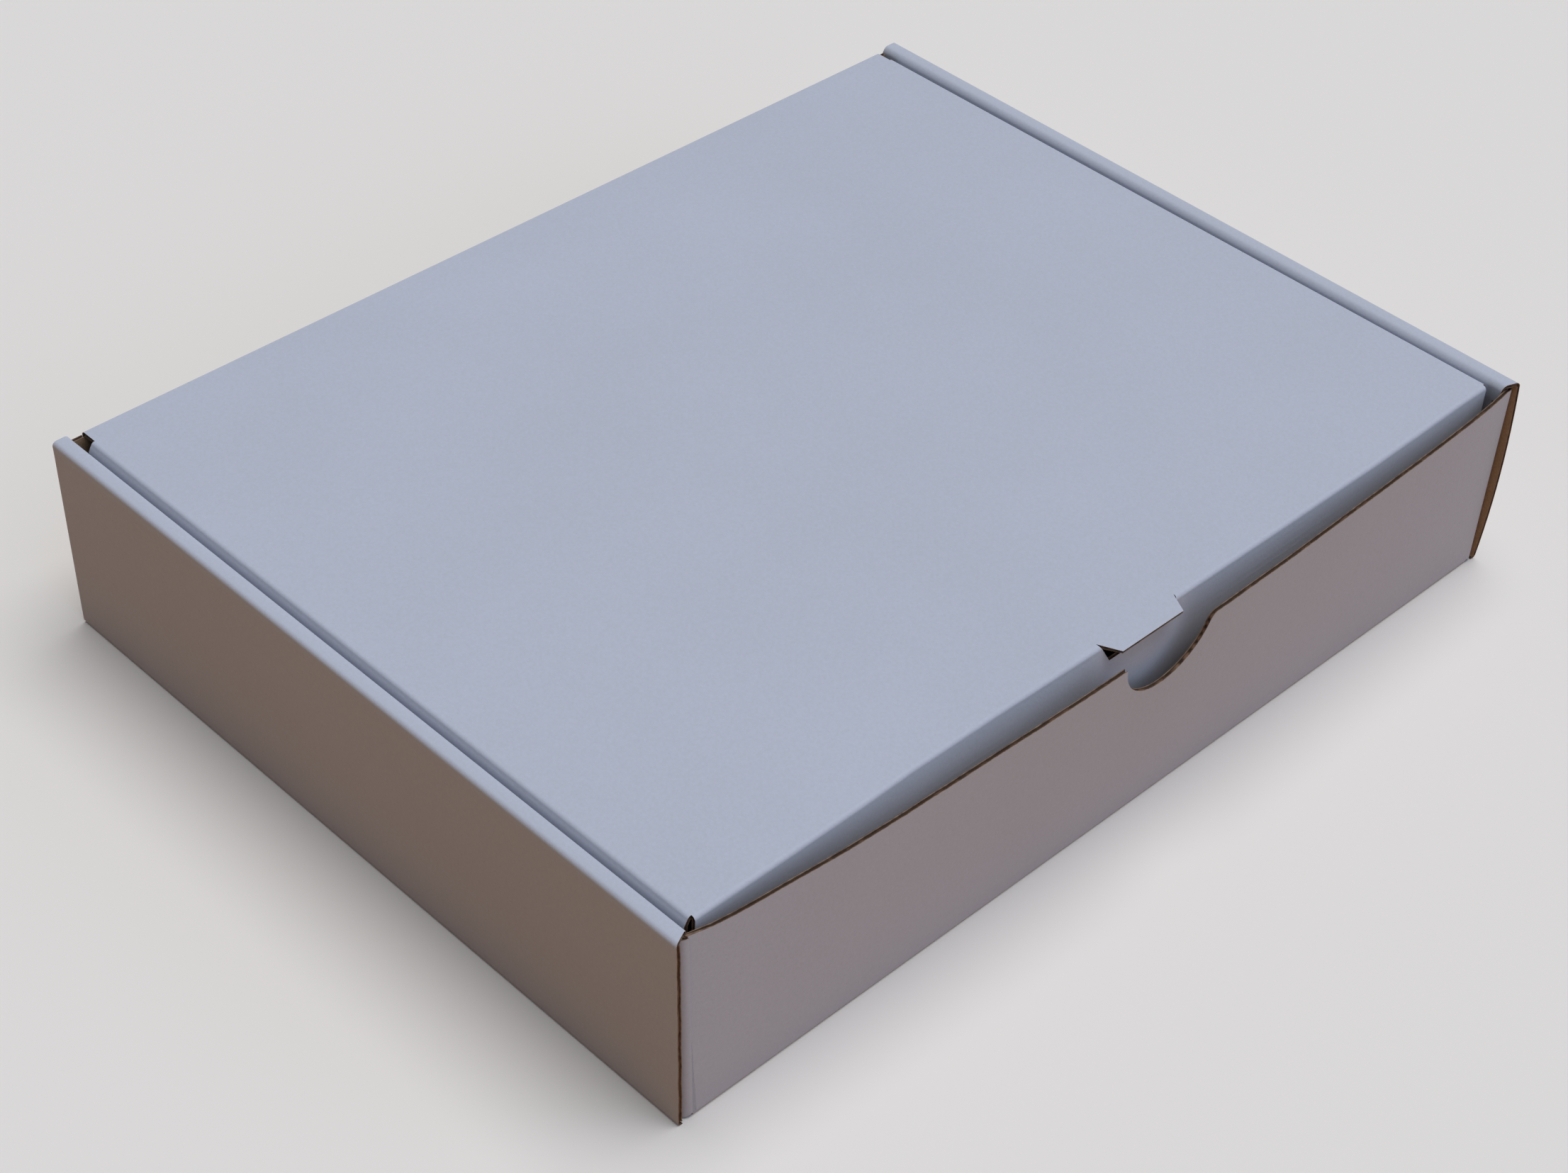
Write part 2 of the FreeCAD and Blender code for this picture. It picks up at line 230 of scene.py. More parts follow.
# paper liner over flutes: a mottled sheet with fine fibre and, in places, a faint washboard
def boardFace(name, look):
    material, tree, output = newMaterial(name)
    place = addNode(tree, "ShaderNodeTexCoord")
    parts = addNode(tree, "ShaderNodeSeparateXYZ", links={0: (place, "Object")})
    turn = addNode(tree, "ShaderNodeSeparateXYZ", links={0: (place, "Normal")})
    # the flutes run along X in the blank, so the washboard steps along Z on the end walls and Y elsewhere
    size = addNode(tree, "ShaderNodeMath", {"operation": "ABSOLUTE"}, {0: (turn, "Y")})
    upright = addNode(tree, "ShaderNodeMath", {"operation": "GREATER_THAN", 1: 0.6}, {0: (size, 0)})
    across = addNode(tree, "ShaderNodeMix", {"data_type": "FLOAT"},
                     {"Factor": (upright, 0), 2: (parts, "Y"), 3: (parts, "Z")})
    turns = 2 * math.pi * perMillimetre(board["flutePitch"])
    phase = addNode(tree, "ShaderNodeMath", {"operation": "MULTIPLY", 1: turns}, {0: (across, 0)})
    wave = addNode(tree, "ShaderNodeMath", {"operation": "SINE"}, {0: (phase, 0)})
    drawnOut = addNode(tree, "ShaderNodeMath", {"operation": "MULTIPLY", 1: 0.04}, {0: (parts, "X")})
    lane = addNode(tree, "ShaderNodeCombineXYZ", links={"X": (drawnOut, 0), "Y": (across, 0)})
    lanes = addNode(tree, "ShaderNodeTexNoise", {"Scale": perMillimetre(look["lane"]), "Detail": 2.0},
                    {"Vector": (lane, 0)})
    pressed = addNode(tree, "ShaderNodeMapRange", {"From Min": 0.5, "From Max": 0.75},
                      {"Value": (lanes, "Fac")})    # the washboard shows in some lanes only
    patches = addNode(tree, "ShaderNodeTexNoise", {"Scale": perMillimetre(look["patch"]), "Detail": 3.0},
                      {"Vector": (place, "Object")})
    fibres = addNode(tree, "ShaderNodeTexNoise", {"Scale": perMillimetre(look["fibre"]), "Detail": 4.0,
                     "Roughness": 0.65}, {"Vector": (place, "Object")})
    mottle = addNode(tree, "ShaderNodeMix", {"data_type": "FLOAT", "Factor": look["fibreShare"]},
                     {2: (patches, "Fac"), 3: (fibres, "Fac")})
    spread = addNode(tree, "ShaderNodeMapRange", {"From Min": 0.32, "From Max": 0.68},
                     {"Value": (mottle, 0)})
    colour = addNode(tree, "ShaderNodeMix",
                     {"data_type": "RGBA", 6: fromHex(look["dark"]), 7: fromHex(look["light"])},
                     {"Factor": (spread, 0)})
    ripple = addNode(tree, "ShaderNodeMath", {"operation": "MULTIPLY"}, {0: (wave, 0), 1: (pressed, 0)})
    ridge = addNode(tree, "ShaderNodeMath", {"operation": "MULTIPLY", 1: look["washboard"]},
                    {0: (ripple, 0)})
    height = addNode(tree, "ShaderNodeMath", {"operation": "MULTIPLY_ADD", 1: look["grain"]},
                     {0: (fibres, "Fac"), 2: (ridge, 0)})
    bump = addNode(tree, "ShaderNodeBump", {"Strength": 1.0, "Distance": 0.001}, {"Height": (height, 0)})
    shader = addNode(tree, "ShaderNodeBsdfPrincipled",
                     {"Roughness": look["roughness"], "IOR": 1.47, "Specular IOR Level": look["specular"]},
                     {"Base Color": (colour, 2), "Normal": (bump, 0)})
    tree.links.new(shader.outputs[0], output.inputs[0])
    return material


# cut paper: streaked brown, with painted shade in the flutes' hollows where the cut crosses them
def rawBoardWithFluteShade(name, look):
    material, tree, output = newMaterial(name)
    place = addNode(tree, "ShaderNodeTexCoord")
    parts = addNode(tree, "ShaderNodeSeparateXYZ", links={0: (place, "Object")})
    # the flutes step along Z in the front wall, which is within wallEnd and ahead of wallFace, and along Y
    # elsewhere
    wallEnd, wallFace = inMetres(156.5, -119.0)
    side = addNode(tree, "ShaderNodeMath", {"operation": "ABSOLUTE"}, {0: (parts, "X")})
    within = addNode(tree, "ShaderNodeMath", {"operation": "LESS_THAN", 1: wallEnd}, {0: (side, 0)})
    ahead = addNode(tree, "ShaderNodeMath", {"operation": "LESS_THAN", 1: wallFace}, {0: (parts, "Y")})
    onFront = addNode(tree, "ShaderNodeMath", {"operation": "MULTIPLY"}, {0: (within, 0), 1: (ahead, 0)})
    across = addNode(tree, "ShaderNodeMix", {"data_type": "FLOAT"},
                     {"Factor": (onFront, 0), 2: (parts, "Y"), 3: (parts, "Z")})
    turns = 2 * math.pi * perMillimetre(board["flutePitch"])
    phase = addNode(tree, "ShaderNodeMath", {"operation": "MULTIPLY", 1: turns}, {0: (across, 0)})
    wave = addNode(tree, "ShaderNodeMath", {"operation": "SINE"}, {0: (phase, 0)})
    streaks = addNode(tree, "ShaderNodeTexNoise", {"Scale": perMillimetre(look["streak"]), "Detail": 3.0},
                      {"Vector": (place, "Object")})
    spread = addNode(tree, "ShaderNodeMapRange", {"From Min": 0.3, "From Max": 0.7},
                     {"Value": (streaks, "Fac")})
    # painted shade: the sine wave darkens the colour at each flute's hollow, by the look's flutes share
    mixed = addNode(tree, "ShaderNodeMath", {"operation": "MULTIPLY_ADD", 1: look["flutes"]},
                    {0: (wave, 0), 2: (spread, 0)})
    colour = addNode(tree, "ShaderNodeMix",
                     {"data_type": "RGBA", 6: fromHex(look["dark"]), 7: fromHex(look["light"])},
                     {"Factor": (mixed, 0)})
    bump = addNode(tree, "ShaderNodeBump", {"Strength": 0.6, "Distance": look["grain"] / 1000},
                   {"Height": (streaks, "Fac")})
    shader = addNode(tree, "ShaderNodeBsdfPrincipled",
                     {"Roughness": look["roughness"], "IOR": 1.47, "Specular IOR Level": look["specular"]},
                     {"Base Color": (colour, 2), "Normal": (bump, 0)})
    tree.links.new(shader.outputs[0], output.inputs[0])
    return material


# white-top liner, uncoated paper: matt and faintly blue-grey, with the flutes just showing through
# paper fibres are far finer than 0.9 mm, and are drawn that coarse so that they show
whiteLiner = boardFace("whiteTopLiner", {
    "light": "#b5bbca", "dark": "#adb3c1", "patch": 60, "lane": 4.0, "fibre": 0.9, "fibreShare": 0.7,
    "washboard": 0.012, "grain": 0.05, "roughness": 0.72, "specular": 0.35})
# kraft liner, unbleached paper: warm brown with darker fibres, drawn coarse in the same way
kraftLiner = boardFace("kraftLiner", {
    "light": "#a88c70", "dark": "#90755c", "patch": 30, "lane": 4.0, "fibre": 0.7, "fibreShare": 0.72,
    "washboard": 0.02, "grain": 0.07, "roughness": 0.85, "specular": 0.25})
# the liners' cut lips: dull brown paper, evenly streaked, with faint painted shade at the flutes
cutLiner = rawBoardWithFluteShade("cutKraftLip", {
    "light": "#8a7463", "dark": "#57453a", "streak": 1.6, "grain": 0.05, "flutes": 0.1,
    "roughness": 0.92, "specular": 0.25})
# the corrugated medium between them: brown paper darkened with painted shade of the sunken groove, and
# painted shade in a hollow at every flute
fluteCoreAndGrooveShade = rawBoardWithFluteShade("flutedMediumAndGrooveShade", {
    "light": "#7d6350", "dark": "#3d2e24", "streak": 2.6, "grain": 0.2, "flutes": 0.6,
    "roughness": 0.92, "specular": 0.25})
print("materials ready")


# tray: base, front and rear walls with their dust flaps, and the rolled side walls
tray = {
    "halfLength": 159.0,
    "halfDepth": 121.5,
    "height": 64.0,
    "rim": 62.0,
    "bendRoom": 3.0,
    "looseBend": 2.9,        # the front-left corner is bent round
    "tightBend": 1.7,
    "cornerCut": 3.2,        # base and inner panels cut back at each corner, clear of the walls' bends
    "leftFlare": 2.1,
    "rightFlare": 0.75,
    "flareFrom": 90.0,
    # how far the front wall's rim stands out along its length: it bows in the middle
    "rimOut": ((-158, -1.3), (-152, -0.4), (-144, 0.7), (-128, 2.05), (-112, 3.3), (-96, 4.1),
               (-64, 4.95), (-32, 5.75), (0, 6.1), (24, 6.1), (48, 5.6), (80, 4.5), (112, 3.3),
               (136, 2.1), (149, 1.1), (158, -0.2)),
    # side wall's front edge ahead of the front wall, at its foot, middle and top
    "leftLead": (0.1, 0.1, -0.1),
    "rightLead": (0.3, 1.95, 1.0),
    "rightOut": 0.5,         # the front wall's right end presses against the side wall
    "leftStripLead": -2.3,   # the top strips' front ends, on their inner side
    "rightStripLead": -1.0,
    "leftRollIn": -0.5,      # how far the inner panels' tops lean
    "rightRollIn": -0.3,
    # rows of the right roll that lean: from this height, to this height, share of the lean
    "rightRollRows": ((58.1, 62.3, 1.0), (62.5, 62.8, 0.55), (62.9, 63.2, 0.25)),
    "leanFrom": 58.0,        # the wall corners lean out above this height
    "edgeRows": 12,
    "dustFlap": 95.0,
    "dustFlapDrop": 1.0,
    "outerShoulder": 1.35,
    "leftInner": 1.3,        # inner shoulders of the rolled walls
    "rightInner": 1.8,
    "leftLip": 0.35,         # how far the top strips' ends turn down past the shoulder
    "rightLip": 4.0,
    "slotMiddle": 65.0,
    "slotHalf": 15.4,
    "slotRoom": 0.4,
    "bowColumns": 48,
    "notchMiddle": 2.6,
    "notchHalf": 16.5,
    "notchDepth": 14.5,
    "notchRound": 3.0,       # the notch eases into the rim at its right end
    "notchSteps": 26,
    "roundSteps": 6,
}
roll = 3 * board["thickness"] + board["layerGap"] + board["innerGap"]
wallHalf = tray["halfLength"] - board["thickness"] - board["layerGap"]
bendStart = wallHalf - tray["bendRoom"]


# places along the rim, and how far the thumb notch drops there, from left to right
def notchProfile():
    half, depth, ease = tray["notchHalf"], tray["notchDepth"], tray["notchRound"]
    radius = (half**2 + depth**2) / (2 * depth)
    above = radius - depth
    meet = math.sqrt((radius + ease) ** 2 - (above + ease) ** 2)
    first, last = -math.acos(-half / radius), -math.asin((above + ease) / (radius + ease))
    steps, roundSteps = tray["notchSteps"], tray["roundSteps"]
    points = []
    for i in range(steps + 1):
        angle = first + (last - first) * i / steps
        points.append((radius * math.cos(angle), -above - radius * math.sin(angle)))
    for i in range(1, roundSteps + 1):
        angle = math.pi + last + (math.pi / 2 - math.pi - last) * i / roundSteps
        points.append((meet + ease * math.cos(angle), ease - ease * math.sin(angle)))
    return [(tray["notchMiddle"] + x, max(0.0, drop)) for x, drop in points]


# value between the table's places
def along(table, x):
    for (x0, value0), (x1, value1) in zip(table, table[1:]):
        if x <= x1:
            return value0 + (value1 - value0) * max(0.0, x - x0) / (x1 - x0)
    return table[-1][1]


# height of the turned-down end of a top strip
def lipOf(side):
    return tray["height"] - tray[side + "Inner"] - tray[side + "Lip"]


# outward lean at the top, which grows towards the side walls
def flareOf(x):
    flare = tray["leftFlare"] if x < 0 else tray["rightFlare"]
    share = min(1.0, max(0.0, (abs(x) - tray["flareFrom"]) / (bendStart - tray["flareFrom"])))
    return math.copysign(flare * share, x)


# front (ySign -1) or rear (1) wall, with the bends and dust flaps at its ends
def makeEndWall(ySign):
    face = ySign * tray["halfDepth"]
    rim, rowOne = tray["rim"], board["foldRadius"] + 0.1
    tip = face - ySign * (tray["bendRoom"] + tray["dustFlap"])
    pick("EDGE", lambda c, e: near(c.y, face) and abs(c.x) < bendStart and near(c.z, 0))
    pull(0, 0, rowOne)
    pull(0, 0, rim - rowOne)
    for xSign in (-1, 1):
        end = xSign * wallHalf
        pick("EDGE", lambda c, e: near(c.x, xSign * bendStart) and near(c.y, face) and c.z > rowOne + 1)
        pull(xSign * tray["bendRoom"], 0, 0)
        pull(0, tip - face, 0)
        pick("VERT", lambda c, v: near(c.x, end) and near(c.y, tip) and near(c.z, rim))
        shift(0, 0, -tray["dustFlapDrop"])
        pick("VERT", lambda c, v: near(c.x, end) and near(c.y, face) and near(c.z, rowOne))
        shift(0, 0, board["freeEdge"] - rowOne)


# outer panels, top strips, and inner panels with their locking tabs
def makeSideWalls():
    high, front = tray["height"], -tray["halfDepth"]
    reach = tray["halfDepth"] - tray["cornerCut"]
    foot = board["thickness"] + board["freeEdge"]
    rows = [high * i / tray["edgeRows"] for i in range(1, tray["edgeRows"])]
    for xSign in (-1, 1):
        face = xSign * tray["halfLength"]
        inner = face - xSign * roll
        side = "left" if xSign < 0 else "right"
        lip = lipOf(side)
        pick("EDGE", lambda c, e: near(c.x, face) and near(c.z, 0))
        pull(0, 0, high)
        pull(-xSign * roll, 0, 0)
        pull(0, 0, lip - high)
        pick("EDGE", lambda c, e: near(c.x, inner) and near(c.z, lip) and abs(c.y) < reach)
        pull(0, 0, foot - lip)
        pick("EDGE", lambda c, e: near(c.x, inner) and near(c.z, foot)
             and abs(abs(c.y) - tray["slotMiddle"]) < tray["slotHalf"])
        pull(0, 0, board["freeEdge"] - foot)
        for ySign in (-1, 1):
            for end in (-1, 1):
                place = ySign * (tray["slotMiddle"] + end * tray["slotHalf"])
                pick("VERT", lambda c, v: near(c.x, inner) and near(c.z, board["freeEdge"])
                     and near(c.y, place))
                shift(0, -ySign * end * tray["slotRoom"], 0)

        # the front edge slants from its foot to the top, and is a little ragged
        cutAt("z", rows, lambda c, f: near(c.x, face) and c.z > 1)
        low, middle, top = tray[side + "Lead"]
        for z in [0, *rows, high]:
            share = z / high
            ahead = low + (top - low) * share + (4 * middle - 2 * low - 2 * top) * share * (1 - share)
            ragged = chance.uniform(-1, 1) * board["ragged"] if 0 < z < high and xSign < 0 else 0
            pick("VERT", lambda c, v: near(c.x, face) and near(c.y, front) and near(c.z, z))
            shift(0, ragged - ahead, 0)
        pick("VERT", lambda c, v: near(c.x, inner) and near(c.y, front) and c.z > lip - 0.1)
        shift(0, -tray[side + "StripLead"], 0)
    return rows


# lean the side walls, and the wall corners between their layers, out at the top
def leanSideWalls(rows):
    high, rim, inner = tray["height"], tray["rim"], tray["halfLength"] - roll
    pick("VERT", lambda c, v: bendStart - 0.02 < c.x < wallHalf + 0.02 and c.y < 0
         and 0.2 < c.z < rim + 0.03)
    shift(tray["rightOut"], 0, 0)
    pick("VERT", lambda c, v: inner - 0.05 < -c.x < inner + tray["leftInner"] + 0.05
         and c.z > lipOf("left") - 0.1)
    shift(tray["leftRollIn"], 0, 0)
    for low, top, share in tray["rightRollRows"]:
        pick("VERT", lambda c, v: inner - 0.1 < c.x < inner + 1 and low < c.z < top)
        shift(tray["rightRollIn"] * share, 0, 0)

    shoulder = high - tray["outerShoulder"] - 0.05
    for xSign, side in ((-1, "left"), (1, "right")):
        flare = xSign * tray[side + "Flare"]
        pick("VERT", lambda c, v: c.x * xSign > inner - 0.6 and c.z > rim + 0.1
             or inner - 0.6 < c.x * xSign < inner + 0.1 and c.z > lipOf(side) - 0.02
             or c.x * xSign > wallHalf + 0.6 and c.z > shoulder)
        shift(flare, 0, 0)
        for z in rows:
            pick("VERT", lambda c, v: c.x * xSign > bendStart and near(c.z, z))
            shift(flare * z / high, 0, 0)
        for ySign, lean in ((-1, -along(tray["rimOut"], xSign * bendStart + flare)), (1, 0)):
            pick("VERT", lambda c, v: bendStart - 0.02 < c.x * xSign < wallHalf + tray["rightOut"] + 0.02
                 and c.y * ySign > 0 and tray["leanFrom"] < c.z < rim + 0.03)
            shift(flare * rim / high, lean, 0)


def makeTrayBoard():
    halfLength, halfDepth = tray["halfLength"], tray["halfDepth"]
    high, rim = tray["height"], tray["rim"]
    foldLine = halfLength - board["foldRadius"] - 0.2
    slotIn = halfLength - roll - tray["slotRoom"]
    slotOut = slotIn + board["thickness"] + 2 * tray["slotRoom"]
    reach = halfDepth - tray["cornerCut"]
    slotEnds = [tray["slotMiddle"] + end * tray["slotHalf"] for end in (-1, 1)]
    piece = startSheet("trayBoard", (-halfLength, halfLength), (-halfDepth, halfDepth), 0)
    cutAt("x", [sign * place for place in (slotIn, bendStart, slotOut, foldLine) for sign in (-1, 1)])
    cutAt("y", [sign * place for place in (*slotEnds, reach) for sign in (-1, 1)])
    dropFaces(lambda c, f: bendStart < abs(c.x) < foldLine and abs(c.y) > reach)
    dropFaces(lambda c, f: slotIn < abs(c.x) < slotOut and slotEnds[0] < abs(c.y) < slotEnds[1])

    makeEndWall(-1)
    makeEndWall(1)
    rows = makeSideWalls()

    # creases
    radius = board["foldRadius"]
    roundFold(radius, lambda c, e: near(c.z, 0) and near(abs(c.y), halfDepth, 0.05)
              and abs(c.x) < bendStart)
    roundFold(radius, lambda c, e: near(c.z, 0) and near(abs(c.x), halfLength))
    for inner, place in ((tray["leftInner"], roll - halfLength), (tray["rightInner"], halfLength - roll)):
        roundFold(inner, lambda c, e: near(c.z, high) and near(c.x, place))
    roundFold(tray["outerShoulder"], lambda c, e: near(c.z, high) and near(abs(c.x), halfLength))

    def atBend(c):
        return near(abs(c.x), wallHalf) and near(abs(c.y), halfDepth) and c.z > board["foldRadius"]

    roundFold(tray["looseBend"], lambda c, e: atBend(c) and c.x < 0 and c.y < 0)
    roundFold(tray["tightBend"], lambda c, e: atBend(c))

    # front wall: columns carry its bow, its ragged rim and the thumb notch
    notch = notchProfile()
    gap = 2 * bendStart / tray["bowColumns"]
    left, right = notch[0][0] - 2, notch[-1][0] + 2
    plain = [-bendStart + (i + 1) * gap for i in range(tray["bowColumns"] - 1)]
    columns = [(x, chance.uniform(0, 1) * board["ragged"]) for x in plain if not left < x < right]
    columns += [*notch, (-slotIn, 0.0), (slotIn, 0.0)]
    cutAt("x", [x for x, _ in columns],
          lambda c, f: near(c.y, -halfDepth, 0.1) and c.z > 0.1 and abs(c.x) < bendStart)
    for x, drop in columns:
        pick("VERT", lambda c, v: near(c.x, x) and near(c.y, -halfDepth) and near(c.z, rim))
        lean = flareOf(x) * rim / high
        shift(lean, -along(tray["rimOut"], x + lean) * (rim - drop) / rim, -drop)

    # rear wall, lowered between the lid's edges, where the crease takes over
    creaseEnds = (lid["left"] + lid["foldRoom"], lid["right"] - lid["foldRoom"] - lid["rearTaper"])
    cutAt("x", [creaseEnds[0] - crease["step"], *creaseEnds, creaseEnds[1] + crease["step"]],
          lambda c, f: near(c.y, halfDepth) and c.z > 0.1 and abs(c.x) < bendStart)
    pick("VERT", lambda c, v: near(c.y, halfDepth) and near(c.z, rim)
         and creaseEnds[0] - 0.1 < c.x < creaseEnds[1] + 0.1)
    shift(0, 0, crease["wallEnd"] - rim)
    leanSideWalls(rows)

    outsideTo((0, 0, -1), lambda c, f: near(c.z, 0) and abs(c.x) < 100 and abs(c.y) < 100)
    thicken(piece)
    openRawEdges(piece)
    finishPiece(piece)
    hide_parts("tray")
    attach(piece, "tray")
    return piece


# lid: panel, tuck flap, thumb tab and side flaps
lid = {
    "left": -153.2,
    "right": 152.8,
    "front": -118.1,
    "top": 63.3,
    "foldRoom": 1.35,        # strip in which the lid's edges turn down
    "tuckFoot": 18.1,
    "tuckLean": 1.9,
    "tuckTaper": 9.0,
    "taperFrom": 53.1,
    "flapFoot": 31.1,
    "flapRear": 115.5,
    "flapTaper": 16.0,
    "flapRow": 60.6,
    "leftFlapLean": 0.9,     # the side flaps spread a little below the fold
    "rightFlapLean": 0.2,
    "rearTaper": 0.6,        # the right edge runs in a little towards the hinge
    "tuckRow": 44.0,
    "tuckBulge": (0.6, 1.3, 2.2),    # the tuck flap bulges out below the fold, row by row
    "bulgeHalf": 150.0,      # the bulge dies away towards this distance from the middle
    # how far the front fold lies back along its length, and the places where the lid is cut to follow it
    "foldBack": ((-153, 0.3), (-120, 0.3), (-96, 0.5), (-80, 0.9), (-50, 0.75), (-16, 0.65), (16, 0.2),
                 (60, 0.0), (100, 0.1), (120, 0.5), (140, 1.0), (153, 1.0)),
    "foldCuts": (-120, -96, -80, -50, 60, 100, 120, 140),
    "tabMiddle": 1.4,
    "tabRoot": 14.8,
    "tabTip": 11.7,
    "tabLength": 4.4,
    "tabPress": 0.5,         # the tab's tip is crushed thinner by the die
    "holeDepth": 5.6,
}


def makeLidBoard():
    room, top = lid["foldRoom"], lid["top"]
    x0, x1 = lid["left"] + room, lid["right"] - room
    y0 = lid["front"] + room
    tabLeft, tabRight = lid["tabMiddle"] - lid["tabRoot"], lid["tabMiddle"] + lid["tabRoot"]
    narrowing = lid["tabRoot"] - lid["tabTip"]
    holeFoot = top - lid["holeDepth"]
    piece = startSheet("lidBoard", (x0, x1), (y0, crease["lidEnd"]), top)
    columns = sorted([*lid["foldCuts"], tabLeft, tabRight])
    cutAt("x", columns)
    cutAt("y", [lid["flapRear"]])

    def besideTab(c):
        return c.x < tabLeft or c.x > tabRight

    # tuck flap, with the hole that the thumb tab leaves
    pick("EDGE", lambda c, e: near(c.y, y0) and besideTab(c))
    pull(0, -room, 0)
    pull(0, 0, holeFoot - top)
    pick("VERT", lambda c, v: near(c.z, holeFoot) and (near(c.x, tabLeft) or near(c.x, tabRight)))
    bpy.ops.mesh.edge_face_add()
    pick("EDGE", lambda c, e: near(c.z, holeFoot))
    pull(0, 0, lid["taperFrom"] - holeFoot)
    pull(0, 0, lid["tuckRow"] - lid["taperFrom"])
    pull(0, 0, lid["tuckFoot"] - lid["tuckRow"])
    for side, place in ((-1, x0), (1, x1)):
        for z in (lid["tuckRow"], lid["tuckFoot"]):
            pick("VERT", lambda c, v: near(c.x, place) and near(c.z, z))
            share = (lid["taperFrom"] - z) / (lid["taperFrom"] - lid["tuckFoot"])
            shift(-side * lid["tuckTaper"] * share, 0, 0)
    for side, place in ((-1, tabLeft), (1, tabRight)):
        pick("VERT", lambda c, v: near(c.x, place) and near(c.z, holeFoot))
        shift(-side * narrowing, 0, 0)

    # thumb tab, left standing in the lid's plane
    tip = lid["front"] - lid["tabLength"]
    pick("EDGE", lambda c, e: near(c.y, y0) and not besideTab(c))
    pull(0, tip - y0, 0)
    for side, place in ((-1, tabLeft), (1, tabRight)):
        pick("VERT", lambda c, v: near(c.x, place) and near(c.y, tip))
        shift(-side * narrowing, 0, 0)

    # side flaps, cut back at the rear
    for side, place in ((-1, x0), (1, x1)):
        pick("EDGE", lambda c, e: near(c.x, place) and y0 < c.y < lid["flapRear"] and near(c.z, top))
        pull(side * room, 0, 0)
        pull(0, 0, lid["flapRow"] - top)
        pull(0, 0, lid["flapFoot"] - lid["flapRow"])
        pick("VERT", lambda c, v: near(c.x, place + side * room) and near(c.y, lid["flapRear"])
             and near(c.z, lid["flapFoot"]))
        shift(0, -lid["flapTaper"], 0)

    radius = board["foldRadius"]
    roundFold(radius, lambda c, e: near(c.z, top) and near(c.y, lid["front"]) and besideTab(c))
    roundFold(radius, lambda c, e: near(c.z, top) and (near(c.x, lid["left"]) or near(c.x, lid["right"])))

    # the fold's line, and the tuck flap's bulge below it
    tuckRows = (holeFoot, lid["taperFrom"], lid["tuckRow"])
    for x in columns:
        pick("VERT", lambda c, v: near(c.x, x) and lid["front"] - 0.5 < c.y < y0 + 0.05
             and c.z > holeFoot + 0.1)
        shift(0, along(lid["foldBack"], x), 0)
        for z, bulge in zip(tuckRows, lid["tuckBulge"]):
            pick("VERT", lambda c, v: near(c.x, x, narrowing + 0.1) and near(c.z, z) and c.y < y0)
            shift(0, -bulge * (1 - abs(x / lid["bulgeHalf"]) ** 3), 0)
    for side, place in ((-1, x0), (1, x1)):
        pick("VERT", lambda c, v: c.x * side > abs(place) - 0.05 and c.y < y0 + 0.05)
        shift(0, along(lid["foldBack"], place), 0)
    pick("VERT", lambda c, v: near(c.z, lid["tuckFoot"]))
    shift(0, lid["tuckLean"], 0)
    pick("VERT", lambda c, v: c.x > x1 - 0.05 and c.y > lid["flapRear"] - lid["flapTaper"] - 0.1)
    shift(-lid["rearTaper"], 0, 0)
    for place, lean in ((lid["left"], -lid["leftFlapLean"]), (lid["right"], lid["rightFlapLean"])):
        for z, share in ((top - radius, 0.25), (lid["flapRow"], 1), (lid["flapFoot"], 0.4)):
            pick("VERT", lambda c, v: near(c.x, place, 0.9) and near(c.z, z))
            shift(lean * share, 0, 0)
    outsideTo((0, 0, 1), lambda c, f: near(c.z, top) and abs(c.y) < 100)
    thicken(piece)
    bpy.ops.object.mode_set(mode="EDIT")
    pick("VERT", lambda c, v: near(c.y, tip) and near(c.z, top - board["thickness"]))
    shift(0, 0, lid["tabPress"])
    openRawEdges(piece)
    finishPiece(piece)
    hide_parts("lid")
    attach(piece, "lid")
    return piece


# rear crease: the bend between the rear wall and the lid
crease = {
    "wallEnd": 60.0,         # height at which the rear wall hands over to the crease
    "lidEnd": 119.0,         # depth at which the crease hands over to the lid
    "step": 0.2,             # width of the step down in the rear wall at each end of the crease
    "steps": 12,
    "blendDepth": 1.0,       # how far in from the wall the blend ends
    "blendTurn": 60,         # degrees from level, the way the blend runs up to the lid
}


def makeRearCrease():
    x0, x1 = lid["left"] + lid["foldRoom"], lid["right"] - lid["foldRoom"] - lid["rearTaper"]
    wall, top = tray["halfDepth"], lid["top"]
    piece = startSheet("rearCrease", (x0, x1), (crease["lidEnd"], wall), top)
    pick("EDGE", lambda c, e: near(c.y, wall))
    pull(0, 0, crease["wallEnd"] - top)
    roundFold(board["foldRadius"], lambda c, e: near(c.y, wall) and near(c.z, top), crease["steps"])
    outsideTo((0, 0, 1), lambda c, f: near(c.z, top, 0.3))
    thicken(piece)
    openRawEdges(piece)
    finishPiece(piece)
    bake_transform(piece)
    return piece


trayBoard = makeTrayBoard()
print("tray board ready:", len(trayBoard.data.polygons), "faces")
lidBoard = makeLidBoard()
print("lid board ready:", len(lidBoard.data.polygons), "faces")
rearCrease = makeRearCrease()
print("rear crease ready:", len(rearCrease.data.polygons), "faces")


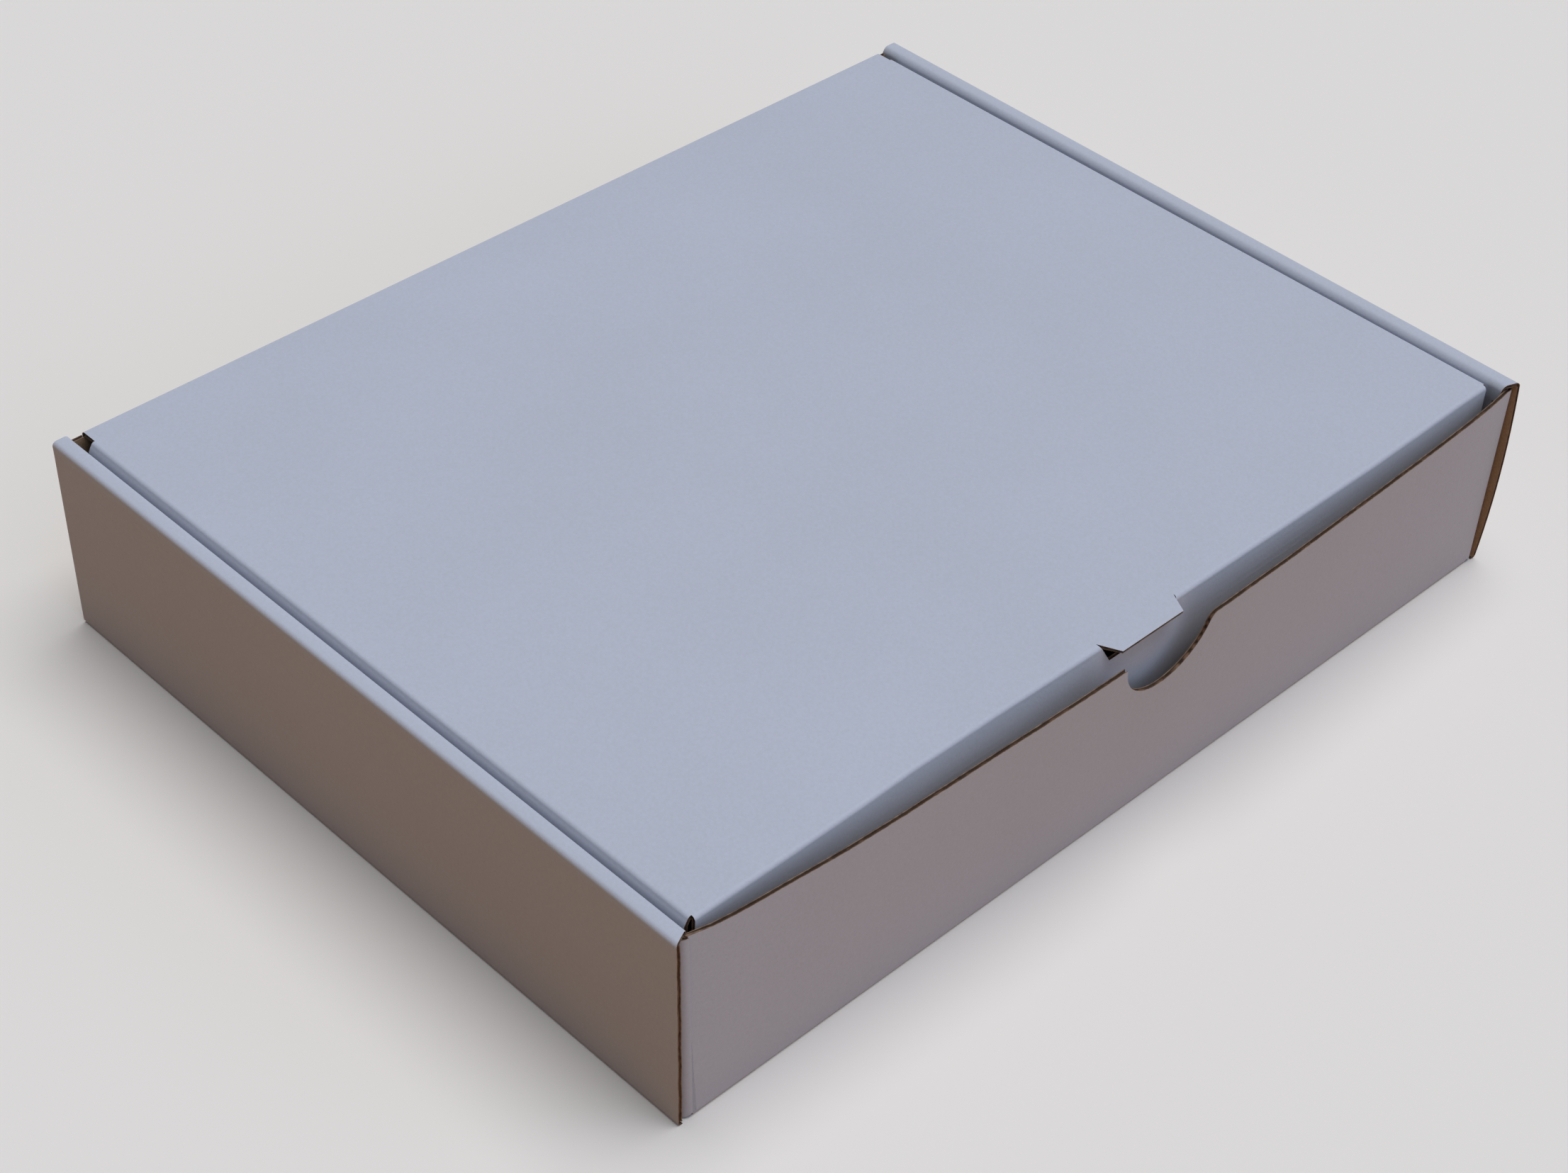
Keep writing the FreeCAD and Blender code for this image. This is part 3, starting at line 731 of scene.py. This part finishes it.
# studio: a pale floor, a soft key from above, a cool fill from in front, a level back light and an even sky
studio = {
    "floorSize": 12.0,            # metres, as are the two places below
    "floorSeen": "#e6e3df",       # what the camera sees
    "floorBounce": "#c18d4e",     # what the walls of the box see: a warm tone, as of brown board
    "keyColour": "#ffffff",
    "keyStrength": 1.89,
    "keyTowards": (0.16, -0.04, 1.0),
    "keyAngle": 45,               # degrees across: a wide sun gives a soft shadow
    "fillColour": "#dbe7ff",
    "fillStrength": 0.84,
    "fillTowards": (0.14, -0.78, 0.62),
    "fillAngle": 75,
    "backColour": "#e6ecff",
    "backStrength": 0.8,
    "backTowards": (0.45, 0.9, 0.0),    # level with the floor, so it only reaches rear and right walls
    "backAngle": 3,
    "lampPlace": (0.6, -0.8, 2.0),
    "skyStrength": 0.18,
    "skyColour": "#f7f6f8",
    "skySeen": "#dbdad9",         # past the floor's end, the floor's own tone
    "cameraPlace": (-0.4846, -0.4577, 0.5645),
    "cameraTurn": (49.7231, -2.3784, -44.2834),    # degrees
    "cameraLens": 70.15,
    "sensorWidth": 36.0,
    "nearClip": 0.01,
}


# 1 for rays that show the background: straight from the camera, mirrored or through glass
def shownRays(tree):
    path = addNode(tree, "ShaderNodeLightPath")
    mirrored = addNode(tree, "ShaderNodeMath", {"operation": "MAXIMUM"},
                       {0: (path, "Is Glossy Ray"), 1: (path, "Is Transmission Ray")})
    return addNode(tree, "ShaderNodeMath", {"operation": "MAXIMUM"},
                   {0: (path, "Is Camera Ray"), 1: (mirrored, 0)})


def makeFloor():
    bpy.ops.mesh.primitive_plane_add(size=studio["floorSize"], location=(0, 0, 0))
    floor = bpy.context.object
    floor.name = "floor"
    material, tree, output = newMaterial("paleFloor")
    seen = addNode(tree, "ShaderNodeBsdfDiffuse", {"Color": fromHex(studio["floorSeen"])})
    bounce = addNode(tree, "ShaderNodeBsdfDiffuse", {"Color": fromHex(studio["floorBounce"])})
    shown = shownRays(tree)
    mixed = addNode(tree, "ShaderNodeMixShader", links={0: (shown, 0), 1: (bounce, 0), 2: (seen, 0)})
    tree.links.new(mixed.outputs[0], output.inputs[0])
    floor.data.materials.append(material)


def makeLights():
    for name in ("key", "fill", "back"):
        bpy.ops.object.light_add(type="SUN", location=studio["lampPlace"])
        lamp = bpy.context.object
        lamp.name = name + "Light"
        lamp.data.color = fromHex(studio[name + "Colour"])[:3]
        lamp.data.energy = studio[name + "Strength"]
        lamp.data.angle = math.radians(studio[name + "Angle"])
        lamp.rotation_euler = Vector(studio[name + "Towards"]).to_track_quat("Z", "Y").to_euler()
    world = bpy.data.worlds.new("studioSky")
    world.use_nodes = True
    tree = world.node_tree
    tree.nodes.clear()
    output = addNode(tree, "ShaderNodeOutputWorld")
    sky = addNode(tree, "ShaderNodeBackground",
                  {"Color": fromHex(studio["skyColour"]), "Strength": studio["skyStrength"]})
    seen = addNode(tree, "ShaderNodeBackground", {"Color": fromHex(studio["skySeen"]), "Strength": 1.0})
    shown = shownRays(tree)
    mixed = addNode(tree, "ShaderNodeMixShader", links={0: (shown, 0), 1: (sky, 0), 2: (seen, 0)})
    tree.links.new(mixed.outputs[0], output.inputs[0])
    bpy.context.scene.world = world


# the photograph's view, from above the front-left corner
def makeCamera():
    turn = [math.radians(angle) for angle in studio["cameraTurn"]]
    bpy.ops.object.camera_add(location=studio["cameraPlace"], rotation=turn)
    camera = bpy.context.object
    camera.name = "photoCamera"
    camera.data.sensor_width = studio["sensorWidth"]
    camera.data.lens = studio["cameraLens"]
    camera.data.clip_start = studio["nearClip"]
    bpy.context.scene.camera = camera


makeFloor()
makeLights()
makeCamera()
bpy.context.scene.view_settings.view_transform = "Standard"
print("studio ready")
